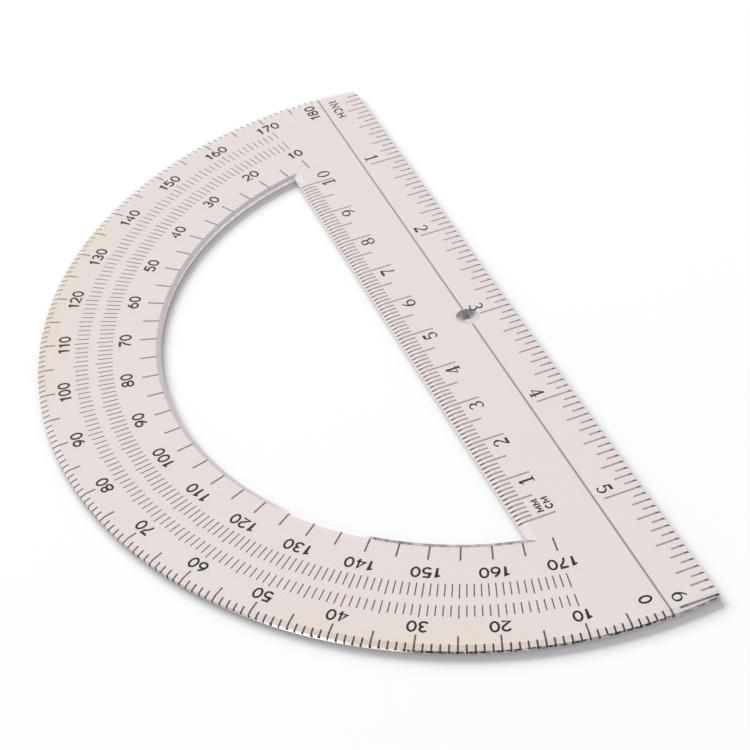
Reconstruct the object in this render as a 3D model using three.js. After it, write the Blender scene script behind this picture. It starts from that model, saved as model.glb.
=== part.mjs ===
// A 6 inch / 10 cm clear plastic protractor: one moulded half-round plate and the scales printed on it.
// Millimetres, +Z up. The plate lies printed face up on Z = 0; X runs along the base line and +Y points to
// the arc. The origin is the centre of the plate's footprint. Everything is drawn about the vertex, the centre
// of the degree scales, and one group then shifts it so that the footprint is centred.
import * as THREE from "three";

// Plate
const THICKNESS = 1.0;
const BEVEL_DROP = 0.3; // how far the printed face has fallen at every bevelled edge
const OUTER_RADIUS = 77.1;
const RULING_EDGE_Y = -8.3; // the straight outer edge, with the inch scale
const WORN_CORNER_RADIUS = 1.8; // the corner at the 180 end is rounded, the one at the 0 end is sharp
const WINDOW_RADIUS = 55.2;
const WINDOW_EDGE_Y = 13.5; // the straight side of the window, with the centimetre scale
const ARC_BEVEL = 1.0;
const RULING_BEVEL = 0.3;
const WINDOW_ARC_BEVEL = 0.8;
const WINDOW_EDGE_BEVEL = 1.2;
const HOLE_MOUTH_RADIUS = 2.0; // the vertex hole is a cone, wide at the printed face
const HOLE_THROAT_RADIUS = 0.3;
const HOLE_THROAT_DEPTH = 0.2; // the straight part of the hole, at the underside
const ARC_STEP = 2; // degrees per facet of the plate's arcs
const CORNER_STEPS = 6;
const HOLE_STEPS = 32;

// Printing
const INK = 0.05; // how far the ink stands above the printed face
const TICK_WIDTH = 0.24;
const BASE_LINE_WIDTH = 0.24;
const RAIL = 0.08; // hair line that joins the marks of one scale into one solid
const BASE_LINE_REACH = 75.9; // ends of the base line, at the crest of the arc bevel
const BASE_LINE_GAP = 2.2; // the base line stops clear of the vertex hole
const RAIL_STEP = 2; // degrees between the corners of a curved hair line
const LADDER_FROM = 10;
const LADDER_TO = 170;
const OUTER_LADDER = { inner: 68.2, outer: 70.45 };
const INNER_LADDER = { inner: 63.8, outer: 66.45 };
const LADDER_LONG = 0.35; // the marks at each 5 degrees stand this much further out
const DEGREE_MARK = 0.6; // length of a 1 degree mark on the flat face, up to the crest of the bevel
const DEGREE_LONG_MARK = 2.0;
const INNER_MARK = 2.8;
const INNER_FROM = 15;
const INNER_TO = 165;
const DETACHED_MARK = { inner: 56.0, outer: 58.8 }; // radii of the inner marks at 10 and 170
const INCH = 25.4;
const INCHES = 6;
const SIXTEENTHS = 16;
const INCH_MARKS = { 1: 1.6, 2: 2.6, 4: 3.4, 16: 5.9 }; // length by the step that the number divides by
const CENTIMETRES = 10;
const MILLIMETRE_MARKS = { 1: 1.7, 5: 3.7, 10: 5.5 };

const material = (color, roughness, opacity = 1) =>
  new THREE.MeshStandardMaterial({
    color,
    roughness,
    metalness: 0,
    opacity,
    transparent: opacity < 1,
  });
const clearPlastic = material(0xe7dfdf, 0.12, 0.45);
const ink = material(0x332d2b, 0.6);

const radians = THREE.MathUtils.degToRad;
const polar = (radius, angle) =>
  new THREE.Vector2(radius * Math.cos(angle), radius * Math.sin(angle));

// Points of an arc about the vertex or another centre, both ends included.
function arc(radius, from, to, steps, centre = new THREE.Vector2()) {
  return Array.from({ length: steps + 1 }, (_, i) =>
    polar(radius, from + ((to - from) * i) / steps).add(centre),
  );
}

// The plate's outline, counterclockwise from the worn corner, drawn in from the full outline by the bevels.
function plateOutline(arcInset, edgeInset) {
  const radius = OUTER_RADIUS - arcInset;
  const edgeY = RULING_EDGE_Y + edgeInset;
  const corner = WORN_CORNER_RADIUS - (arcInset + edgeInset) / 2;
  const cornerY = edgeY + corner;
  const cornerCentre = new THREE.Vector2(
    Math.sqrt((radius - corner) ** 2 - cornerY ** 2),
    cornerY,
  );
  const arcStart = cornerCentre.angle() - 2 * Math.PI;
  const arcEnd = Math.PI - Math.asin(edgeY / radius);
  const steps = Math.round(190 / ARC_STEP);
  return [
    ...arc(corner, -Math.PI / 2, arcStart, CORNER_STEPS, cornerCentre),
    ...arc(radius, arcStart, arcEnd, steps).slice(1),
  ];
}

// The window's outline, counterclockwise from its corner at the 180 end.
function windowOutline(arcOutset, edgeOutset) {
  const radius = WINDOW_RADIUS + arcOutset;
  const start = Math.asin((WINDOW_EDGE_Y - edgeOutset) / radius);
  return arc(radius, start, Math.PI - start, Math.round(150 / ARC_STEP));
}

// A closed solid between level loops. Each ring is { z, points }, from the bottom up; holes run clockwise.
function levelSolid(outerRings, holeRings) {
  const triangles = [];
  const at = (ring, i) => [
    ring.points[i % ring.points.length].x,
    ring.points[i % ring.points.length].y,
    ring.z,
  ];
  const wall = (low, high) => {
    for (let i = 0; i < low.points.length; i++) {
      triangles.push(at(low, i), at(low, i + 1), at(high, i + 1));
      triangles.push(at(low, i), at(high, i + 1), at(high, i));
    }
  };
  const cap = (rings, up) => {
    const [contour, ...holes] = rings.map((ring) => ring.points);
    const all = [contour, ...holes].flat();
    for (const [a, b, c] of THREE.ShapeUtils.triangulateShape(contour, holes)) {
      const order = up ? [a, b, c] : [a, c, b];
      triangles.push(...order.map((i) => [all[i].x, all[i].y, rings[0].z]));
    }
  };
  const stacks = [outerRings, ...holeRings];
  for (const rings of stacks)
    for (let i = 0; i + 1 < rings.length; i++) wall(rings[i], rings[i + 1]);
  cap(
    stacks.map((rings) => rings[0]),
    false,
  );
  cap(
    stacks.map((rings) => rings[rings.length - 1]),
    true,
  );
  return new THREE.BufferGeometry().setAttribute(
    "position",
    new THREE.Float32BufferAttribute(triangles.flat(), 3),
  );
}

function plateGeometry() {
  const edge = THICKNESS - BEVEL_DROP;
  const ring = (z, points) => ({ z, points });
  const outer = plateOutline(0, 0);
  const window = windowOutline(0, 0).reverse();
  const hole = (radius) => arc(radius, 2 * Math.PI, 0, HOLE_STEPS).slice(1);
  return levelSolid(
    [
      ring(0, outer),
      ring(edge, outer),
      ring(THICKNESS, plateOutline(ARC_BEVEL, RULING_BEVEL)),
    ],
    [
      [
        ring(0, window),
        ring(edge, window),
        ring(
          THICKNESS,
          windowOutline(WINDOW_ARC_BEVEL, WINDOW_EDGE_BEVEL).reverse(),
        ),
      ],
      [
        ring(0, hole(HOLE_THROAT_RADIUS)),
        ring(HOLE_THROAT_DEPTH, hole(HOLE_THROAT_RADIUS)),
        ring(THICKNESS, hole(HOLE_MOUTH_RADIUS)),
      ],
    ],
  );
}

// Ink of the given outline, standing on the flat printed face.
const printed = (points) =>
  new THREE.ExtrudeGeometry(new THREE.Shape(points), {
    depth: INK,
    bevelEnabled: false,
  }).translate(0, 0, THICKNESS);

// Radial marks joined by a hair line. reach(angle) is the radius of each mark's free end, and the hair line
// lies at railRadius, RAIL wide towards that end.
function radialMarks(from, to, step, railRadius, reach) {
  const inward = reach(from) < railRadius;
  const railEdge = railRadius + (inward ? -RAIL : RAIL);
  const marks = [];
  const rail = [];
  for (let angle = from; angle <= to; angle += step) {
    const turn = radians(angle);
    const half = TICK_WIDTH / 2;
    const side = (radius, sign) => polar(radius, turn + (sign * half) / radius);
    marks.push(
      side(railEdge, -1),
      side(reach(angle), -1),
      side(reach(angle), 1),
      side(railEdge, 1),
    );
    if (angle === from) rail.push(side(railRadius, -1));
    else if (angle === to) rail.push(side(railRadius, 1));
    else if ((angle - from) % RAIL_STEP === 0) rail.push(polar(railRadius, turn));
  }
  return printed([...marks, ...rail.reverse()]);
}

// One radial mark that stands alone, centred on the angle.
function detachedMark(angle) {
  const turn = radians(angle);
  const { inner, outer } = DETACHED_MARK;
  const side = (radius, sign) =>
    polar(radius, turn + (sign * TICK_WIDTH) / 2 / radius);
  return printed([side(inner, -1), side(outer, -1), side(outer, 1), side(inner, 1)]);
}

// Marks along a straight rail at railY, at x = start + i * pitch, each length(i) long towards side's sign.
function straightMarks(start, pitch, count, railY, side, length) {
  const half = TICK_WIDTH / 2;
  const points = [];
  for (let i = 0; i <= count; i++) {
    const x = start + i * pitch;
    const y = railY + side * length(i);
    const railEdge = railY + side * RAIL;
    points.push(new THREE.Vector2(x - half, railEdge));
    points.push(new THREE.Vector2(x - half, y));
    points.push(new THREE.Vector2(x + half, y));
    points.push(new THREE.Vector2(x + half, railEdge));
  }
  points.push(new THREE.Vector2(start + count * pitch + half, railY));
  points.push(new THREE.Vector2(start - half, railY));
  return printed(points);
}

// The length of a mark from the largest step that its number divides by.
const graded = (lengths) => (i) =>
  lengths[Math.max(...Object.keys(lengths).filter((step) => i % step === 0))];

// A straight line of ink along the base line, from x0 to x1.
const baseLine = (x0, x1) =>
  printed(
    [
      [x0, -1],
      [x1, -1],
      [x1, 1],
      [x0, 1],
    ].map(([x, sign]) => new THREE.Vector2(x, (sign * BASE_LINE_WIDTH) / 2)),
  );

const crest = OUTER_RADIUS - ARC_BEVEL;
const windowCrest = WINDOW_RADIUS + WINDOW_ARC_BEVEL;
const ladder = (band) => (angle) =>
  band.outer + (angle % 5 === 0 ? LADDER_LONG : 0);

const pieces = {
  clear_plate: plateGeometry(),
  base_line_left: baseLine(-BASE_LINE_REACH, -BASE_LINE_GAP),
  base_line_right: baseLine(BASE_LINE_GAP, BASE_LINE_REACH),
  outer_degree_marks: radialMarks(
    1,
    179,
    1,
    crest,
    (angle) => crest - (angle % 5 === 0 ? DEGREE_LONG_MARK : DEGREE_MARK),
  ),
  outer_ladder_marks: radialMarks(
    LADDER_FROM,
    LADDER_TO,
    1,
    OUTER_LADDER.inner,
    ladder(OUTER_LADDER),
  ),
  inner_ladder_marks: radialMarks(
    LADDER_FROM,
    LADDER_TO,
    1,
    INNER_LADDER.inner,
    ladder(INNER_LADDER),
  ),
  inner_degree_marks: radialMarks(
    INNER_FROM,
    INNER_TO,
    5,
    windowCrest,
    () => windowCrest + INNER_MARK,
  ),
  inner_mark_10: detachedMark(10),
  inner_mark_170: detachedMark(170),
  inch_marks: straightMarks(
    (-INCHES * INCH) / 2 + INCH / SIXTEENTHS,
    INCH / SIXTEENTHS,
    INCHES * SIXTEENTHS - 2,
    RULING_EDGE_Y + RULING_BEVEL,
    1,
    (i) => graded(INCH_MARKS)(i + 1) - RULING_BEVEL,
  ),
  centimetre_marks: straightMarks(
    -CENTIMETRES * 5,
    1,
    CENTIMETRES * 10,
    WINDOW_EDGE_Y - WINDOW_EDGE_BEVEL,
    -1,
    graded(MILLIMETRE_MARKS),
  ),
};

const protractor = new THREE.Group();
protractor.position.y = -(OUTER_RADIUS + RULING_EDGE_Y) / 2;
for (const [name, geometry] of Object.entries(pieces)) {
  const mesh = new THREE.Mesh(
    geometry,
    name === "clear_plate" ? clearPlastic : ink,
  );
  mesh.name = name;
  protractor.add(mesh);
}

const part = new THREE.Group();
part.add(protractor);
export default part;
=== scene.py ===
"""A clear plastic protractor with printed scales, on a pale floor. Blender 4.5.

Sizes are in millimetres about the vertex, the centre of the degree scales, and become metres in `place`.
"""

import math
import random

import bmesh
import bpy
from mathutils import Matrix, Vector
from mathutils.geometry import tessellate_polygon


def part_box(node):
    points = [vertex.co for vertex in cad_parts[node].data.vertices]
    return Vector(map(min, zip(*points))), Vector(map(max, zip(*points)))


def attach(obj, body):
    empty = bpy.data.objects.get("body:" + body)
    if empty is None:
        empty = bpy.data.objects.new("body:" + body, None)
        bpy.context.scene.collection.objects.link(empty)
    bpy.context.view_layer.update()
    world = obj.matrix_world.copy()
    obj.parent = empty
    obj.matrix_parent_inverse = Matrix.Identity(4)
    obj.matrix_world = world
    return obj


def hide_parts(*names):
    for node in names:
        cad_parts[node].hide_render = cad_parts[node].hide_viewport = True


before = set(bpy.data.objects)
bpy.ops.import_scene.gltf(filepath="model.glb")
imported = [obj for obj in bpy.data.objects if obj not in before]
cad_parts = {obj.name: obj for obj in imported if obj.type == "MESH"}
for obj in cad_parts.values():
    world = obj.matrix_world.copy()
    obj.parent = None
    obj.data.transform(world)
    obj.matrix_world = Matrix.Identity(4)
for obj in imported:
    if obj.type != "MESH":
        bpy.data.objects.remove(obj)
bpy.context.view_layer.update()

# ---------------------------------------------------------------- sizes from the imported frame, in mm
MM = 0.001


def box_mm(node):
    low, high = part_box(node)
    return low / MM, high / MM


plate_low, plate_high = box_mm("clear_plate")
line_low, line_high = box_mm("base_line_left")
BASE_Y = (line_low.y + line_high.y) / 2  # where the base line lies in the frame
TOP = plate_high.z
OVERRUN = 0.01  # how far ink that ran over the edge stands off the plate's wall
RADIUS = min(plate_high.y - BASE_Y, plate_high.x, -plate_low.x) - OVERRUN
RULING_EDGE = plate_low.y - BASE_Y

# ---------------------------------------------------------------- other sizes of the plate, in mm
BEVEL_DROP = 0.3
ARC_BEVEL = 1.0  # the bevels' widths
RULING_BEVEL = 0.3
WINDOW_ARC_BEVEL = 0.8
WINDOW_RADIUS = 55.2
WINDOW_EDGE = 13.5
WINDOW_EDGE_BEVEL = 1.2
WORN_CORNER = 1.8
HOLE_MOUTH = 2.0
HOLE_THROAT = 0.3
THROAT_DEPTH = 0.2
EDGE_ROUND = 0.1  # the small radius along every edge of the moulding

# ---------------------------------------------------------------- sizes of the print, in mm
SUNK = 0.012  # how deep the ink lies in the plastic, so that no air is left between the two
INK = 0.024  # how thick the ink is
EDGE_GAP = 0.02  # from the end of a mark to the outer wall
LADDER_TICK = 0.21  # a mark's width
LADDER_LONG = 0.35  # how much longer every fifth ladder mark is
LADDER_RADII = {
    "outer_ladder_marks": (68.2, 70.45),
    "inner_ladder_marks": (63.8, 66.45),
}
TICK = 0.3
OUTER_TICK_START = 75.9
OUTER_LONG_TICK_START = 74.3
INNER_TICK = (55.95, 58.9)
RULER_TICK = 0.36
RULER_GAP = 0.06  # from the plate's edge to a ruler mark
RULER_SHADED_TIP = 0.9  # how far from the edge the marks are painted darker, a painted shade
HOLE_CLEARANCE = 0.3  # from the hole's mouth to a ruler mark
BASE_LINE = 0.38
BASE_LINE_START = 2.2
INCH = 25.4
INCH_START = -3 * INCH - 0.2  # both rules are printed a little to the left of the vertex
INCH_LENGTHS = {1: 2.4, 2: 3.4, 4: 4.2, 16: 6.8}  # by the step that a mark's number divides by
CENTIMETRE_START = -50.2
MILLIMETRE_LENGTHS = {1: 2.9, 5: 4.9, 10: 6.7}
OUTER_NUMERALS = 72.65  # radius of the middle of the numerals
INNER_NUMERALS = 61.6
DEGREE_DIGITS = 2.25  # height of the numerals
DEGREE_PEN = 0.38
RULER_DIGITS = 2.75
RULER_PEN = 0.45
RULER_CONTRAST = 0.5  # how much thinner the pen is on level strokes
CENTIMETRE_NUMERALS = 8.1  # height of their middle above the base line
INCH_NUMERALS = -2.5
BESIDE_CENTIMETRE = -1.7  # from a mark to the middle of its numeral
BESIDE_INCH = 1.75


def place(x, y, z):
    """A point of the frame, in metres, from millimetres about the vertex."""
    return Vector((x * MM, (y + BASE_Y) * MM, z * MM))


def polar(radius, angle):
    """A point at the angle in degrees, counterclockwise from the right end of the base line."""
    turn = math.radians(angle)
    return Vector((radius * math.cos(turn), radius * math.sin(turn)))


# ---------------------------------------------------------------- the moulded plate


def arc(radius, start, end, steps, centre=(0, 0)):
    turns = [start + (end - start) * i / steps for i in range(steps + 1)]
    return [
        Vector((centre[0] + radius * math.cos(t), centre[1] + radius * math.sin(t)))
        for t in turns
    ]


def plate_outline(inset):
    """The outer outline, drawn in by `inset` of the arc bevel's width, counterclockwise."""
    radius = RADIUS - inset
    edge = RULING_EDGE + inset * RULING_BEVEL / ARC_BEVEL
    corner = max(WORN_CORNER - inset, 0.2)
    corner_y = edge + corner
    corner_x = math.sqrt((radius - corner) ** 2 - corner_y**2)
    arc_start = math.atan2(corner_y, corner_x)
    arc_end = math.pi - math.asin(edge / radius)
    worn = arc(corner, -math.pi / 2, arc_start, 10, (corner_x, corner_y))
    return worn + arc(radius, arc_start, arc_end, 240)[1:]


def window_outline(outset):
    """The window's outline, drawn out by `outset` of its arc bevel's width, counterclockwise."""
    radius = WINDOW_RADIUS + outset
    edge = WINDOW_EDGE - outset * WINDOW_EDGE_BEVEL / WINDOW_ARC_BEVEL
    start = math.asin(edge / radius)
    return arc(radius, start, math.pi - start, 180)


def bevelled_section(width):
    """(inset, height) up a bevelled edge, from the underside to the printed face, every corner rounded."""
    shoulder = TOP - BEVEL_DROP
    slope = BEVEL_DROP / width
    r = EDGE_ROUND
    return [
        (r, 0),
        (r * 0.3, r * 0.3),
        (0, r),
        (0, shoulder - r),
        (r * 0.12, shoulder - r * 0.3),
        (r * 0.45, shoulder + r * 0.05),
        (r, shoulder + r * slope),
        (width - r, TOP - r * slope),
        (width, TOP - r * slope * 0.3),
        (width + r, TOP),
    ]


def hole_section():
    """(radius, height) up the cone at the vertex, from the underside to its mouth."""
    r = EDGE_ROUND
    mouth_slope = (HOLE_MOUTH - HOLE_THROAT) / (TOP - THROAT_DEPTH)
    return [
        (HOLE_THROAT + r, 0),
        (HOLE_THROAT + r * 0.3, r * 0.3),
        (HOLE_THROAT, r),
        (HOLE_THROAT, THROAT_DEPTH),
        (HOLE_MOUTH - r * mouth_slope, TOP - r),
        (HOLE_MOUTH, TOP - r * 0.2),
        (HOLE_MOUTH + r, TOP),
    ]


FIRST_BEVEL_LEVEL = 5  # the steps of bevelled_section below this one are the wall
PLATE_PARTS = ["face", "bevel", "rim", "window_wall", "hole", "window_bevel", "ruled_wall"]


def build_plate():
    """The plate as one closed mesh, its parts numbered as in PLATE_PARTS."""
    stacks = [
        [(plate_outline(inset), z) for inset, z in bevelled_section(ARC_BEVEL)],
        [(window_outline(inset)[::-1], z) for inset, z in bevelled_section(WINDOW_ARC_BEVEL)],
        [
            (arc(radius, 2 * math.pi, 0, 64)[1:], z)
            for radius, z in hole_section()
        ],
    ]
    bm = bmesh.new()
    rings = [
        [[bm.verts.new(place(p.x, p.y, z)) for p in points] for points, z in stack]
        for stack in stacks
    ]
    parts = [("bevel", "rim"), ("window_bevel", "window_wall"), ("hole", "hole")]
    for (upper, lower), stack in zip(parts, rings):
        for level, (low, high) in enumerate(zip(stack, stack[1:])):
            on_bevel = level >= FIRST_BEVEL_LEVEL
            for i in range(len(low)):
                j = (i + 1) % len(low)
                face = bm.faces.new((low[i], low[j], high[j], high[i]))
                if lower != "hole" and j == 0:  # the straight edges
                    part = "bevel" if on_bevel else "ruled_wall"
                else:
                    part = upper if on_bevel else lower
                face.material_index = PLATE_PARTS.index(part)
    for level in (0, -1):
        loops = [stack[level] for stack in rings]
        flat = [vert for loop in loops for vert in loop]
        for triangle in tessellate_polygon([[v.co for v in loop] for loop in loops]):
            bm.faces.new([flat[i] for i in triangle])
    bmesh.ops.recalc_face_normals(bm, faces=bm.faces)
    return mesh_object("clear_plate_moulding", bm)


def mesh_object(name, bm):
    mesh = bpy.data.meshes.new(name)
    bm.to_mesh(mesh)
    bm.free()
    made = bpy.data.objects.new(name, mesh)
    bpy.context.scene.collection.objects.link(made)
    return made


def shade_by_angle(obj, degrees):
    obj.data.shade_smooth()
    obj.data.set_sharp_from_angle(angle=math.radians(degrees))
    modifier = obj.modifiers.new("even_shading", "WEIGHTED_NORMAL")
    modifier.keep_sharp = True


# ---------------------------------------------------------------- ink laid on the plate


def surface(x, y):
    """Height of the printed face, which falls away along the bevels."""
    from_vertex = math.hypot(x, y)
    fall = [
        (from_vertex - (RADIUS - ARC_BEVEL)) / ARC_BEVEL,
        (RULING_EDGE + RULING_BEVEL - y) / RULING_BEVEL,
    ]
    if y > WINDOW_EDGE - WINDOW_EDGE_BEVEL:
        into_arc = (WINDOW_RADIUS + WINDOW_ARC_BEVEL - from_vertex) / WINDOW_ARC_BEVEL
        into_edge = (y - WINDOW_EDGE + WINDOW_EDGE_BEVEL) / WINDOW_EDGE_BEVEL
        fall.append(min(into_arc, into_edge))
    return TOP - BEVEL_DROP * min(max(0, *fall), 1)


def ink_ribbon(bm, centre, widths, closed=False):
    """A thin closed strip of ink along the points, `widths` wide, following the surface."""
    count = len(centre)
    left, right = [], []
    for i, point in enumerate(centre):
        before = centre[i - 1] if i or closed else point
        after = centre[(i + 1) % count] if i + 1 < count or closed else point
        along = (after - before).normalized()
        across = Vector((-along.y, along.x)) * widths[i] / 2
        if 0 < i < count - 1:
            bend = (point - before).normalized().dot((after - point).normalized())
            across /= max(math.sqrt(max((1 + bend) / 2, 0)), 0.6)
        left.append(point + across)
        right.append(point - across)
    layers = []
    for height in (-SUNK, INK - SUNK):
        layers.append(
            [
                [bm.verts.new(place(p.x, p.y, surface(p.x, p.y) + height)) for p in side]
                for side in (left, right)
            ]
        )
    (left_low, right_low), (left_high, right_high) = layers
    for i in range(count if closed else count - 1):
        j = (i + 1) % count
        bm.faces.new((left_high[i], right_high[i], right_high[j], left_high[j]))
        bm.faces.new((left_low[i], left_low[j], right_low[j], right_low[i]))
        bm.faces.new((left_low[i], left_high[i], left_high[j], left_low[j]))
        bm.faces.new((right_low[i], right_low[j], right_high[j], right_high[i]))
    if not closed:
        bm.faces.new((left_low[0], right_low[0], right_high[0], left_high[0]))
        bm.faces.new((left_low[-1], left_high[-1], right_high[-1], right_low[-1]))


def mark(bm, start, end, width, stops=()):
    """A straight mark, with an extra corner at each stop, a share of its length."""
    shares = sorted({0, 1, *stops})
    ink_ribbon(bm, [start.lerp(end, s) for s in shares], [width] * len(shares))


def ink_object(name, bm, material, *nodes):
    """An ink piece. The lamp is far too broad for such fine print to shade the paper under the plate."""
    made = mesh_object(name, bm)
    made.data.materials.append(material)
    made.visible_shadow = False
    made.visible_diffuse = False
    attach(made, "root")
    if nodes:
        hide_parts(*nodes)


def radial_scale(name, angles, span, width, *nodes):
    """Marks about the vertex. span(angle) gives the two radii that a mark runs between."""
    bm = bmesh.new()
    for angle in angles:
        inner, outer = span(angle)
        share = (RADIUS - ARC_BEVEL - inner) / (outer - inner)
        stops = (share,) if 0 < share < 1 else ()
        mark(bm, polar(inner, angle), polar(outer, angle), width, stops)
    ink_object(name, bm, tick_ink, *nodes)


def wall_dash(bm, angle, width, top, bottom):
    """Ink that ran over the edge and down the outer wall."""
    half = math.degrees(width / 2 / RADIUS)
    corners = []
    for radius in (RADIUS - 2 * OVERRUN, RADIUS + OVERRUN / 2):
        for side in (-half, half):
            for z in (bottom, top):
                p = polar(radius, angle + side)
                corners.append(bm.verts.new(place(p.x, p.y, z)))
    for face in ((0, 1, 3, 2), (4, 6, 7, 5), (0, 4, 5, 1), (2, 3, 7, 6), (0, 2, 6, 4), (1, 5, 7, 3)):
        bm.faces.new([corners[i] for i in face])


def edge_ink():
    """The outer marks' tips on the wall, each a little different, and dark blots between them near 0, which
    are painted dark reflection.
    """
    chance = random.Random(7)
    shoulder = TOP - BEVEL_DROP
    bm = bmesh.new()
    for angle in range(181):
        foot = chance.uniform(0.1, 0.4)
        wall_dash(bm, angle + chance.uniform(-0.08, 0.08), chance.uniform(0.26, 0.5), shoulder, foot)
    # painted dark reflection: dark patches on the wall between the marks near the outer scale's 0
    for angle in range(149, 181):
        if chance.random() < 0.7:
            dark_patch = chance.uniform(0.3, 0.8)
            wall_dash(bm, angle + chance.uniform(0.3, 0.7), dark_patch, shoulder, chance.uniform(0.2, 0.5))
    ink_object("ink_and_painted_reflection_on_the_rim", bm, ink)


def straight_scale(name, first, pitch, numbers, edge, bevel, lengths, *nodes):
    """Marks from a straight edge, graded by the largest step that the mark's number divides by. Their tips
    at the edge are painted darker, a painted shade, and no mark runs into the vertex hole.
    """
    bm = bmesh.new()
    tips = bmesh.new()
    side = math.copysign(1, bevel)
    for number in numbers:
        x = first + number * pitch
        length = lengths[max(step for step in lengths if number % step == 0)]
        if abs(x) < HOLE_MOUTH:
            length = min(length, abs(edge) - HOLE_MOUTH - HOLE_CLEARANCE)
        for part, near, far in ((tips, RULER_GAP, RULER_SHADED_TIP), (bm, RULER_SHADED_TIP, length)):
            crest_share = (abs(bevel) - near) / (far - near)
            start, end = (Vector((x, edge + side * reach)) for reach in (near, far))
            mark(part, start, end, RULER_TICK, (crest_share,) if 0 < crest_share < 1 else ())
    ink_object(name, bm, ruler_ink, *nodes)
    ink_object(name + "_tips", tips, tick_ink)


# ---------------------------------------------------------------- numerals, drawn as pen strokes


def bow(x, y, rx, ry, start, end, steps=14):
    """Points of an elliptical stroke about (x, y), from one angle to another in degrees."""
    turns = [math.radians(start + (end - start) * i / steps) for i in range(steps + 1)]
    return [(x + rx * math.cos(t), y + ry * math.sin(t)) for t in turns]


# Each glyph is (advance, strokes) in a cell one unit high. A point may add its own share of the pen's width.
PLAIN = {
    "0": (0.72, [bow(0.33, 0.5, 0.25, 0.42, 90, 450, 28)]),
    "1": (0.62, [[(0.12, 0.72), (0.34, 0.92), (0.34, 0.02)]]),
    "2": (0.72, [bow(0.34, 0.67, 0.24, 0.25, 165, -30) + [(0.1, 0.08), (0.6, 0.08)]]),
    "3": (0.72, [bow(0.32, 0.71, 0.22, 0.21, 150, -85), bow(0.32, 0.29, 0.25, 0.22, 95, -155)]),
    "4": (0.74, [[(0.62, 0.27), (0.08, 0.27), (0.46, 0.9), (0.46, 0.02)]]),
    "5": (0.72, [[(0.56, 0.92), (0.18, 0.92), (0.13, 0.5)] + bow(0.33, 0.33, 0.25, 0.26, 125, -150)]),
    "6": (0.72, [bow(0.34, 0.33, 0.25, 0.26, 0, 360, 24), bow(0.62, 0.33, 0.53, 0.62, 180, 112)]),
    "7": (0.7, [[(0.08, 0.92), (0.58, 0.92)] + bow(0.9, 0.02, 0.66, 0.8, 125, 180, 8)]),
    "8": (0.72, [bow(0.33, 0.7, 0.2, 0.22, -90, 270, 24), bow(0.33, 0.28, 0.25, 0.22, 90, 450, 24)]),
    "9": (0.72, [bow(0.32, 0.67, 0.25, 0.26, 0, 360, 24), bow(0.04, 0.67, 0.53, 0.62, 0, -68)]),
    "C": (0.8, [bow(0.4, 0.5, 0.3, 0.42, 50, 310, 18)]),
    "H": (0.85, [[(0.12, 0.95), (0.12, 0.05)], [(0.12, 0.5), (0.64, 0.5)], [(0.64, 0.95), (0.64, 0.05)]]),
    "I": (0.42, [[(0.18, 0.95), (0.18, 0.05)]]),
    "M": (1.0, [[(0.1, 0.05), (0.14, 0.92), (0.45, 0.25), (0.76, 0.92), (0.8, 0.05)]]),
    "N": (0.88, [[(0.12, 0.05), (0.12, 0.92), (0.66, 0.08), (0.66, 0.95)]]),
}


# The ruler numerals have feet and heavy bars.
SERIF = {
    **PLAIN,
    "1": (
        0.62,
        [
            [(0.12, 0.74, 0.4), (0.34, 0.95, 0.9)],
            [(0.34, 0.97), (0.34, 0.05)],
            [(0.12, 0.05, 0.5), (0.56, 0.05, 0.5)],
        ],
    ),
    "2": (
        0.72,
        [
            bow(0.33, 0.68, 0.22, 0.25, 165, -35) + [(0.12, 0.12, 0.5)],
            [(0.08, 0.09, 1.0), (0.6, 0.09, 1.0)],
        ],
    ),
    "4": (
        0.76,
        [
            [(0.46, 0.93, 0.5), (0.06, 0.28, 0.5), (0.66, 0.28, 0.5)],
            [(0.46, 0.93), (0.46, 0.05)],
            [(0.3, 0.05, 0.5), (0.62, 0.05, 0.5)],
        ],
    ),
    "5": (
        0.72,
        [
            [(0.17, 0.88, 1.1), (0.56, 0.9, 1.1)],
            [(0.17, 0.9, 0.5), (0.14, 0.52, 0.5)] + bow(0.33, 0.33, 0.24, 0.26, 125, -150),
        ],
    ),
    "7": (
        0.7,
        [
            [(0.08, 0.78, 0.5), (0.1, 0.88, 1.0), (0.6, 0.88, 1.0)],
            [(0.59, 0.86, 0.5), (0.36, 0.42, 0.6), (0.3, 0.04, 0.8)],
        ],
    ),
}


def pen_widths(points, pen, contrast):
    """The pen's width at each point. Level runs are thinner by `contrast`, unless the point has a share."""
    widths = []
    for i, point in enumerate(points):
        before, after = points[max(i - 1, 0)], points[min(i + 1, len(points) - 1)]
        run = math.dist(before[:2], after[:2])
        level = abs(after[0] - before[0]) / run
        widths.append(pen * (point[2] if len(point) > 2 else 1 - contrast * level))
    return widths


def write(bm, text, origin, turn, height, pen, glyphs=PLAIN, widen=1.12, contrast=0.0):
    """Draws text centred on origin, its reading direction turned by `turn` degrees and its letters made
    `widen` times as wide.
    """
    total = sum(glyphs[c][0] for c in text) * height * widen
    rotate = Matrix.Rotation(math.radians(turn), 2)
    x = -total / 2
    for character in text:
        advance, strokes = glyphs[character]
        for stroke in strokes:
            closed = math.dist(stroke[0][:2], stroke[-1][:2]) < 1e-6
            points = stroke[:-1] if closed else stroke
            at = [
                origin + rotate @ Vector((x + px * height * widen, (py - 0.5) * height))
                for px, py, *_ in points
            ]
            ink_ribbon(bm, at, pen_widths(points, pen, contrast), closed)
        x += advance * height * widen


def degree_numerals(name, radius, values, height, pen):
    """Numbers on a circle with their tops outward. values maps each angle to its text."""
    bm = bmesh.new()
    for angle, text in values.items():
        write(bm, text, polar(radius, angle), angle - 90, height, pen)
    ink_object(name, bm, ink)


# ---------------------------------------------------------------- materials

LAMP_TINT = (0.97, 0.95, 0.95)  # what the lamp's light keeps at each face of the plate
EDGE_SHADE = (0.1, 0.085, 0.105)  # and at an edge, which bends the rest away
TINT = (0.89, 0.845, 0.845)
AGED = (0.89, 0.83, 0.70)
AGED_BEVEL = (0.74, 0.66, 0.52)
AGEING_STARTS = 66  # mm from the vertex
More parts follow.
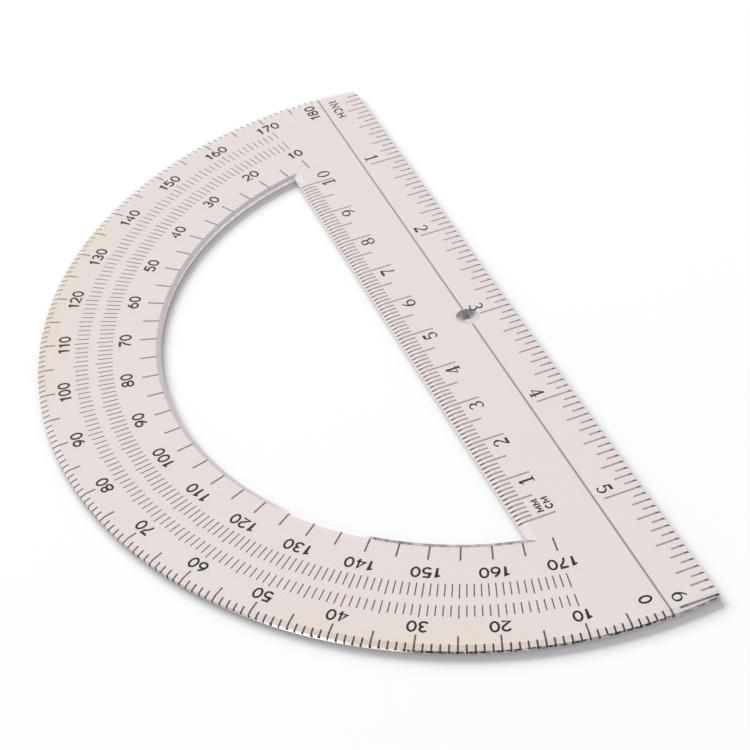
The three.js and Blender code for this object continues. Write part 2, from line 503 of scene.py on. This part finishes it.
# Places on the plate: radius mm, angle, reach mm, then a painted highlight's strength or a painted dark
# reflection's colour
AGED_PLACES = [(77, 148, 26), (77, 60, 34)]
# painted glints: the near rim is painted whiter where it catches the lamp
RIM_PAINTED_GLINTS = [(77, 142, 14, 0.35), (77, 136.5, 9, 0.8)]
# painted dark reflection: the near rim is painted dark brown towards the outer scale's 0
RIM_PAINTED_DARK_REFLECTION = [(77, 173, 33, (0.035, 0.024, 0.022))]
# painted glint on the window's wall, where it catches the lamp
WINDOW_PAINTED_GLINT = [(55, 132, 10, 1.0)]
# painted highlights on the window's bevel: a glint, and a broad lighter stretch about the inner scale's 35
BEVEL_PAINTED_HIGHLIGHTS = [(55, 132, 10, 1.0), (55, 35, 60, 0.4)]
# painted dark reflection: the window's wall and bevel are painted brown near the inner scale's 158
WINDOW_PAINTED_DARK_REFLECTION = [(55, 158, 18, (0.12, 0.085, 0.07))]


def new_material(name):
    material = bpy.data.materials.new(name)
    material.use_nodes = True
    nodes = material.node_tree.nodes
    return material, nodes, material.node_tree.links, nodes["Principled BSDF"]


def noise(nodes, links, scale, detail=2.0, stretch=(1, 1, 1)):
    """Noise in object space, `scale` cells to the metre."""
    position = nodes.new("ShaderNodeTexCoord")
    mapping = nodes.new("ShaderNodeMapping")
    mapping.inputs["Scale"].default_value = stretch
    texture = nodes.new("ShaderNodeTexNoise")
    texture.inputs["Scale"].default_value = scale
    texture.inputs["Detail"].default_value = detail
    links.new(position.outputs["Object"], mapping.inputs["Vector"])
    links.new(mapping.outputs["Vector"], texture.inputs["Vector"])
    return texture.outputs["Fac"]


def ramp(nodes, links, source, low, high):
    """Maps the middle of a 0 to 1 value onto low to high."""
    node = nodes.new("ShaderNodeMapRange")
    node.inputs["From Min"].default_value = 0.3
    node.inputs["From Max"].default_value = 0.7
    node.inputs["To Min"].default_value = low
    node.inputs["To Max"].default_value = high
    links.new(source, node.inputs["Value"])
    return node.outputs["Result"]


def feed(links, socket, value):
    """Sets a socket to a number or a colour, or links it to another node's output."""
    if isinstance(value, (int, float)):
        socket.default_value = value
    elif isinstance(value, tuple):
        socket.default_value = (*value, 1)
    else:
        links.new(value, socket)


def math_node(nodes, links, operation, *values):
    node = nodes.new("ShaderNodeMath")
    node.operation = operation
    for socket, value in zip(node.inputs, values):
        feed(links, socket, value)
    return node.outputs[0]


def mixed(nodes, links, factor, first, second):
    """A colour between two others, each a tuple of three numbers or a socket."""
    node = nodes.new("ShaderNodeMix")
    node.data_type = "RGBA"
    feed(links, node.inputs["A"], first)
    feed(links, node.inputs["B"], second)
    links.new(factor, node.inputs["Factor"])
    return node.outputs["Result"]


def spot(nodes, links, radius, angle, full, none):
    """1 within `full` mm of a place on the plate and 0 beyond `none` mm, in object space."""
    position = nodes.new("ShaderNodeTexCoord")
    distance = nodes.new("ShaderNodeVectorMath")
    distance.operation = "DISTANCE"
    centre = polar(radius, angle)
    distance.inputs[1].default_value = place(centre.x, centre.y, TOP)
    share = nodes.new("ShaderNodeMapRange")
    share.inputs["From Min"].default_value = none * MM
    share.inputs["From Max"].default_value = full * MM
    links.new(position.outputs["Object"], distance.inputs[0])
    links.new(distance.outputs["Value"], share.inputs["Value"])
    return share.outputs["Result"]


def rim_share(nodes, links):
    """0 inside the plate, rising to 1 at the outer arc, in object space."""
    position = nodes.new("ShaderNodeTexCoord")
    offset = nodes.new("ShaderNodeVectorMath")
    offset.operation = "SUBTRACT"
    offset.inputs[1].default_value = (0, BASE_Y * MM, 0)
    length = nodes.new("ShaderNodeVectorMath")
    length.operation = "LENGTH"
    links.new(position.outputs["Object"], offset.inputs[0])
    links.new(offset.outputs["Vector"], length.inputs[0])
    share = nodes.new("ShaderNodeMapRange")
    share.inputs["From Min"].default_value = AGEING_STARTS * MM
    share.inputs["From Max"].default_value = RADIUS * MM
    links.new(length.outputs["Value"], share.inputs["Value"])
    return share.outputs["Result"]


def lamp_path(nodes, links, surface_shader, front):
    """The lamp's light goes straight through. `front` is what is left of it where it enters."""
    path = nodes.new("ShaderNodeLightPath")
    passes = math_node(
        nodes, links, "MAXIMUM", path.outputs["Is Shadow Ray"], path.outputs["Is Diffuse Ray"]
    )
    side = nodes.new("ShaderNodeNewGeometry")
    through = nodes.new("ShaderNodeBsdfTransparent")
    links.new(mixed(nodes, links, side.outputs["Backfacing"], front, LAMP_TINT), through.inputs["Color"])
    mix = nodes.new("ShaderNodeMixShader")
    links.new(passes, mix.inputs["Fac"])
    links.new(surface_shader, mix.inputs[1])
    links.new(through.outputs["BSDF"], mix.inputs[2])
    links.new(mix.outputs["Shader"], nodes["Material Output"].inputs["Surface"])


def clear_plastic(name, tint, aged, roughness, clearness, front):
    """Moulded plastic, yellowed in patches at the rim. A clearness under 1 makes it slightly milky."""
    material, nodes, links, shader = new_material(name)
    shader.inputs["Transmission Weight"].default_value = clearness
    shader.inputs["IOR"].default_value = 1.49
    patches = ramp(nodes, links, noise(nodes, links, 160, 2.0), 0.3, 1.0)
    for radius, angle, reach in AGED_PLACES:
        place_share = spot(nodes, links, radius, angle, reach * 0.6, reach)
        place_share = math_node(nodes, links, "MULTIPLY", place_share, rim_share(nodes, links))
        factor = math_node(nodes, links, "MULTIPLY", place_share, patches)
        tint = mixed(nodes, links, factor, tint, aged)
    links.new(tint, shader.inputs["Base Color"])
    scuffs = noise(nodes, links, 900, 3.0, (1, 6, 1))
    links.new(ramp(nodes, links, scuffs, *roughness), shader.inputs["Roughness"])
    bump = nodes.new("ShaderNodeBump")
    bump.inputs["Strength"].default_value = 0.08
    bump.inputs["Distance"].default_value = 0.0004
    links.new(noise(nodes, links, 60, 1.0), bump.inputs["Height"])
    links.new(bump.outputs["Normal"], shader.inputs["Normal"])
    lamp_path(nodes, links, shader.outputs["BSDF"], front)
    return material


def frosted(name, tint, glow, painted_highlights=(), painted_dark_reflections=()):
    """A frosted side of the plate, lit from behind through the plastic. It is painted whiter at each
    highlight place, a painted highlight, and painted a darker brown within each dark place, a painted dark
    reflection.
    """
    material, nodes, links, shader = new_material(name)
    share = ramp(nodes, links, noise(nodes, links, 1500, 2.0), glow * 0.6, glow * 1.4)
    colour = tint
    for radius, angle, reach, strength in painted_highlights:
        # painted highlight: near-white colour and more of the lit-from-behind share within each highlight
        # place
        highlight = spot(nodes, links, radius, angle, reach * 0.5, reach)
        highlight = math_node(nodes, links, "MULTIPLY", highlight, strength)
        colour = mixed(nodes, links, highlight, colour, (1.0, 0.94, 0.93))
        extra = math_node(nodes, links, "MULTIPLY", highlight, 0.45)
        share = math_node(nodes, links, "ADD", share, extra)
    reflection_mottle = ramp(nodes, links, noise(nodes, links, 900, 2.0), 0.25, 1.0)
    for radius, angle, reach, reflection_colour in painted_dark_reflections:
        # painted dark reflection: the colour is darkened towards a brown within each dark place
        darkened = spot(nodes, links, radius, angle, reach * 0.92, reach)
        darkened = math_node(nodes, links, "MULTIPLY", darkened, reflection_mottle)
        colour = mixed(nodes, links, darkened, colour, reflection_colour)
    behind = nodes.new("ShaderNodeBsdfTranslucent")
    feed(links, shader.inputs["Base Color"], colour)
    feed(links, behind.inputs["Color"], colour)
    shader.inputs["Roughness"].default_value = 0.4
    shader.inputs["Transmission Weight"].default_value = 0.2
    shader.inputs["IOR"].default_value = 1.49
    mix = nodes.new("ShaderNodeMixShader")
    links.new(share, mix.inputs["Fac"])
    links.new(shader.outputs["BSDF"], mix.inputs[1])
    links.new(behind.outputs["BSDF"], mix.inputs[2])
    lamp_path(nodes, links, mix.outputs["Shader"], EDGE_SHADE)
    return material


def stained_cone():
    """The hole's wall: frosted, with painted shade and dark streaks on the half that faces away from the
    lamp.
    """
    material, nodes, links, shader = new_material("vertex_hole_wall")
    streaks = ramp(nodes, links, noise(nodes, links, 900, 2.0, (0.5, 3, 1)), 0.0, 1.0)
    # painted shade: the +X half of the cone, which faces away from the lamp, is darkened with streaks
    painted_shade = mixed(nodes, links, streaks, (0.36, 0.31, 0.31), (0.07, 0.06, 0.06))
    shaded_half = spot(nodes, links, HOLE_MOUTH, 0, HOLE_MOUTH * 0.9, HOLE_MOUTH * 1.3)
    links.new(mixed(nodes, links, shaded_half, (0.58, 0.54, 0.54), painted_shade), shader.inputs["Base Color"])
    shader.inputs["Transmission Weight"].default_value = 0.6
    shader.inputs["IOR"].default_value = 1.49
    shader.inputs["Roughness"].default_value = 0.4
    lamp_path(nodes, links, shader.outputs["BSDF"], LAMP_TINT)
    return material


def ink_material(name, fresh, worn):
    """Printed ink, `fresh` at the outer scale's 0 end and `worn` at its 180 end, mottled throughout."""
    material, nodes, links, shader = new_material(name)
    position = nodes.new("ShaderNodeTexCoord")
    split = nodes.new("ShaderNodeSeparateXYZ")
    across = nodes.new("ShaderNodeMapRange")
    across.inputs["From Min"].default_value = -70 * MM
    across.inputs["From Max"].default_value = 70 * MM
    across.inputs["To Max"].default_value = 0.8
    links.new(position.outputs["Object"], split.inputs["Vector"])
    links.new(split.outputs["X"], across.inputs["Value"])
    mottled = ramp(nodes, links, noise(nodes, links, 2500, 3.0), -0.2, 0.2)
    wear = math_node(nodes, links, "ADD", across.outputs["Result"], mottled)
    wear = math_node(nodes, links, "MAXIMUM", wear, 0.0)
    links.new(mixed(nodes, links, wear, fresh, worn), shader.inputs["Base Color"])
    shader.inputs["Roughness"].default_value = 0.55
    return material


def floor_material():
    material, _, _, shader = new_material("pale_floor")
    shader.inputs["Base Color"].default_value = (0.9, 0.9, 0.9, 1)
    shader.inputs["Roughness"].default_value = 0.9
    shader.inputs["Specular IOR Level"].default_value = 0.0
    return material


# ---------------------------------------------------------------- camera, floor and light

CAMERA_FROM_VERTEX = (-248.3, 101.7, 229.8)  # mm from the vertex at the printed face
AIM_FROM_VERTEX = (-7.2, 20.8, 0.0)
CAMERA_ROLL = -5.03
FOCAL_LENGTH = 94.5  # on a 36 mm sensor


def make_camera():
    data = bpy.data.cameras.new("camera")
    data.sensor_width = 36
    data.lens = FOCAL_LENGTH
    camera = bpy.data.objects.new("camera", data)
    bpy.context.scene.collection.objects.link(camera)
    bpy.context.scene.camera = camera
    x, y, z = CAMERA_FROM_VERTEX
    camera.location = place(x, y, z + TOP)
    x, y, z = AIM_FROM_VERTEX
    forward = place(x, y, z + TOP) - camera.location
    roll = Matrix.Rotation(math.radians(CAMERA_ROLL), 4, "Z")
    camera.rotation_euler = (
        forward.to_track_quat("-Z", "Y").to_matrix().to_4x4() @ roll
    ).to_euler()
    data.clip_start = 0.01
    data.clip_end = 20


def make_floor():
    bm = bmesh.new()
    bmesh.ops.create_grid(bm, x_segments=1, y_segments=1, size=3)
    floor = mesh_object("floor", bm)
    floor.location.z = -0.00002
    floor.data.materials.append(floor_material())


def area_light(name, azimuth, elevation, distance, width, height, power):
    """A soft white light that faces the object. Azimuth is measured from +X towards +Y, in degrees."""
    data = bpy.data.lights.new(name, "AREA")
    data.shape = "RECTANGLE"
    data.size = width
    data.size_y = height
    data.energy = power
    light = bpy.data.objects.new(name, data)
    bpy.context.scene.collection.objects.link(light)
    turn, rise = math.radians(azimuth), math.radians(elevation)
    toward = Vector(
        (math.cos(turn) * math.cos(rise), math.sin(turn) * math.cos(rise), math.sin(rise))
    )
    light.location = toward * distance
    light.rotation_euler = toward.to_track_quat("Z", "Y").to_euler()
    return light


def make_light():
    world = bpy.data.worlds.new("studio")
    bpy.context.scene.world = world
    world.use_nodes = True
    background = world.node_tree.nodes["Background"]
    background.inputs["Color"].default_value = (1.0, 1.0, 1.0, 1)
    background.inputs["Strength"].default_value = 0.45
    key = area_light(
        "key", azimuth=8, elevation=17.5, distance=5.0, width=4.4, height=1.14, power=615
    )
    key.visible_glossy = False
    key.visible_transmission = False
    bpy.context.scene.view_settings.view_transform = "Standard"


# ---------------------------------------------------------------- the assembly


def outer_span(angle):
    inner = OUTER_LONG_TICK_START if angle % 5 == 0 else OUTER_TICK_START
    return inner, RADIUS - EDGE_GAP


def ladder_span(node):
    inner, outer = LADDER_RADII[node]
    return lambda angle: (inner, outer + (LADDER_LONG if angle % 5 == 0 else 0))


def finish_plate():
    """The plate with its materials, in the order of PLATE_PARTS."""
    plate = build_plate()
    for plastic in (
        clear_plastic("clear_plastic_face", TINT, AGED, (0.02, 0.07), 1.0, LAMP_TINT),
        clear_plastic("clear_plastic_bevel", TINT, AGED_BEVEL, (0.08, 0.16), 0.75, EDGE_SHADE),
        frosted("frosted_rim", (0.86, 0.8, 0.77), 0.15, RIM_PAINTED_GLINTS, RIM_PAINTED_DARK_REFLECTION),
        frosted("frosted_window_wall", (0.9, 0.84, 0.84), 0.17, WINDOW_PAINTED_GLINT, WINDOW_PAINTED_DARK_REFLECTION),
        stained_cone(),
        # painted shade: the window's bevel is tinted much darker than the same plastic in its wall
        frosted("frosted_window_bevel", (0.56, 0.52, 0.52), 0.1, BEVEL_PAINTED_HIGHLIGHTS, WINDOW_PAINTED_DARK_REFLECTION),
        frosted("frosted_ruled_wall", (0.86, 0.8, 0.78), 0.15),
    ):
        plate.data.materials.append(plastic)
    shade_by_angle(plate, 30)
    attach(plate, "root")
    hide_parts("clear_plate")


def degree_scales():
    radial_scale("outer_degree_scale", range(1, 180), outer_span, TICK, "outer_degree_marks")
    edge_ink()
    for node in LADDER_RADII:
        name = node.replace("marks", "scale")
        radial_scale(name, range(10, 171), ladder_span(node), LADDER_TICK, node)
    inner_nodes = ("inner_degree_marks", "inner_mark_10", "inner_mark_170")
    radial_scale("inner_degree_scale", range(10, 171, 5), lambda angle: INNER_TICK, TICK, *inner_nodes)


def ruler_scales():
    inch_shape = (RULING_EDGE, RULING_BEVEL, INCH_LENGTHS)
    straight_scale("inch_scale", INCH_START, INCH / 16, range(96), *inch_shape, "inch_marks")
    millimetre_shape = (WINDOW_EDGE, -WINDOW_EDGE_BEVEL, MILLIMETRE_LENGTHS)
    straight_scale(
        "centimetre_scale", CENTIMETRE_START, 1, range(101), *millimetre_shape, "centimetre_marks"
    )


def base_line():
    bm = bmesh.new()
    for sign in (-1, 1):
        reaches = (BASE_LINE_START, RADIUS - ARC_BEVEL, RADIUS - EDGE_GAP)
        ends = [Vector((sign * x, 0)) for x in reaches]
        ink_ribbon(bm, ends, [BASE_LINE] * 3)
    ink_object("base_line", bm, ruler_ink, "base_line_left", "base_line_right")


def degree_numbers():
    """The outer scale counts from the left end and the inner one from the right."""
    outer = {180 - value: str(value) for value in range(10, 180, 10)}
    degree_numerals("outer_degree_numerals", OUTER_NUMERALS, outer, DEGREE_DIGITS, DEGREE_PEN)
    inner = {value: str(value) for value in range(10, 180, 10)}
    degree_numerals("inner_degree_numerals", INNER_NUMERALS, inner, DEGREE_DIGITS, DEGREE_PEN)
    bm = bmesh.new()
    write(bm, "0", Vector((-72.7, 2.55)), 0, DEGREE_DIGITS, DEGREE_PEN)
    write(bm, "180", Vector((72.5, 2.6)), 0, DEGREE_DIGITS, DEGREE_PEN)
    ink_object("end_numerals", bm, ink)


def ruler_number(bm, text, x, y, turn):
    write(bm, text, Vector((x, y)), turn, RULER_DIGITS, RULER_PEN, SERIF, 1.05, RULER_CONTRAST)


def ruler_numbers():
    """Each number stands beside its mark. The 10 has one digit on either side."""
    bm = bmesh.new()
    for number in range(1, 10):
        x = CENTIMETRE_START + 10 * number + BESIDE_CENTIMETRE
        ruler_number(bm, str(number), x, CENTIMETRE_NUMERALS, 0)
    for digit, x in (("1", 48.85), ("0", 51.9)):
        ruler_number(bm, digit, x, CENTIMETRE_NUMERALS - 0.1, 0)
    ink_object("centimetre_numerals", bm, ink)
    bm = bmesh.new()
    for number in range(1, 7):
        x = 3 * INCH - INCH * number + BESIDE_INCH
        ruler_number(bm, str(number), x, INCH_NUMERALS, 180)
    ink_object("inch_numerals", bm, ink)


def unit_words():
    bm = bmesh.new()
    write(bm, "MM", Vector((-47.7, 8.9)), 0, 1.2, 0.34, PLAIN, 1.35)
    write(bm, "CM", Vector((-47.7, 7.2)), 0, 1.25, 0.32, PLAIN, 1.35)
    write(bm, "INCH", Vector((71.3, INCH_NUMERALS)), 180, 1.8, 0.34, PLAIN, 1.25)
    ink_object("unit_words", bm, ink)


ink = ink_material("printed_ink", (0.03, 0.021, 0.019), (0.1, 0.08, 0.076))
tick_ink = ink_material("worn_ink", (0.13, 0.09, 0.07), (0.36, 0.31, 0.29))
ruler_ink = ink_material("faint_ink", (0.33, 0.28, 0.26), (0.42, 0.37, 0.35))
finish_plate()
degree_scales()
ruler_scales()
base_line()
degree_numbers()
ruler_numbers()
unit_words()
make_camera()
make_floor()
make_light()
